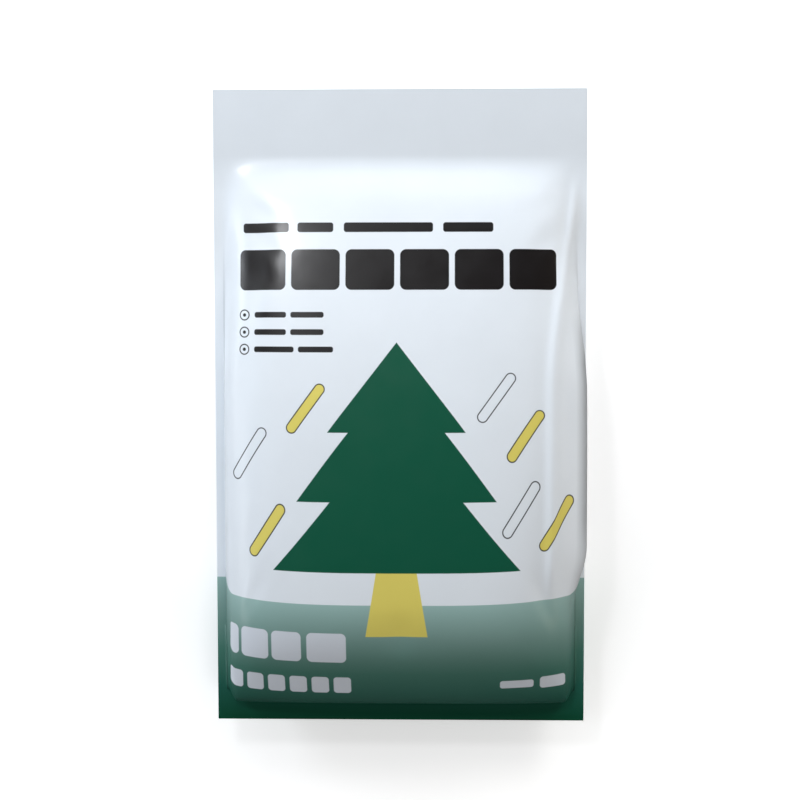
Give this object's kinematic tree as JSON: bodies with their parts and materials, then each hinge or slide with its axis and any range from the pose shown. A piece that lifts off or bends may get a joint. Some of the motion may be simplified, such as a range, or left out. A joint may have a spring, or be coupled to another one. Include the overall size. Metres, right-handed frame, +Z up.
{
  "type": "cat litter bag",
  "caption": "Sealed film bag filled with wood-pellet cat litter, lying on its back, with flat seals all round, a blank header strip and a plain pine-tree print.",
  "frame": {"origin": "on the floor, under the middle of the bag's bounding box", "axes": "+Z up out of the printed front, +Y towards the header at the bag's head, +X to the right as the print is read"},
  "size_m": [0.43, 0.735, 0.128],
  "materials": {
    "printed_film": "satin"
  },
  "bodies": {
    "root": {"litter_bag": "printed_film"}
  },
  "joints": []
}
